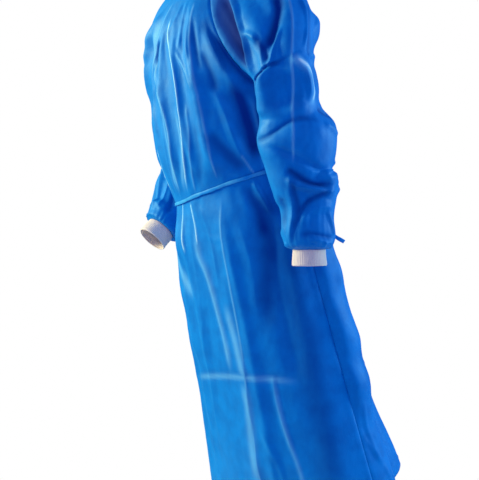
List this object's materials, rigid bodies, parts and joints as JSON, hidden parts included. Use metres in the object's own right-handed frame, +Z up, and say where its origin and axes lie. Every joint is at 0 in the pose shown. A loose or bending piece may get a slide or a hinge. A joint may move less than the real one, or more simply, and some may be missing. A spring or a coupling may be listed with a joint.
{
  "type": "surgical gown",
  "caption": "Long-sleeved wrap-back surgical gown in nonwoven cloth with raglan sleeves, knitted cuffs, neck binding and a waist tie, standing in its worn form",
  "frame": {"origin": "the middle of the neck opening, level with the base of the neck, where the wearer's neck and shoulders hold the gown up", "axes": "+Z up, the wearer faces -Y, and the wearer's left is +X"},
  "size_m": [0.6997, 0.4132, 1.2675],
  "materials": {
    "nonwoven": "satin",
    "knit": "matte",
    "binding": "satin",
    "tie": "satin"
  },
  "bodies": {
    "root": {"front": "nonwoven", "back_left": "nonwoven", "back_right": "nonwoven", "sleeve_left": "nonwoven", "sleeve_right": "nonwoven", "cuff_left": "knit", "cuff_right": "knit", "neck_binding": "binding", "waist_belt": "tie", "belt_knot": "tie", "belt_end_left": "tie", "belt_end_right": "tie"}
  },
  "joints": []
}
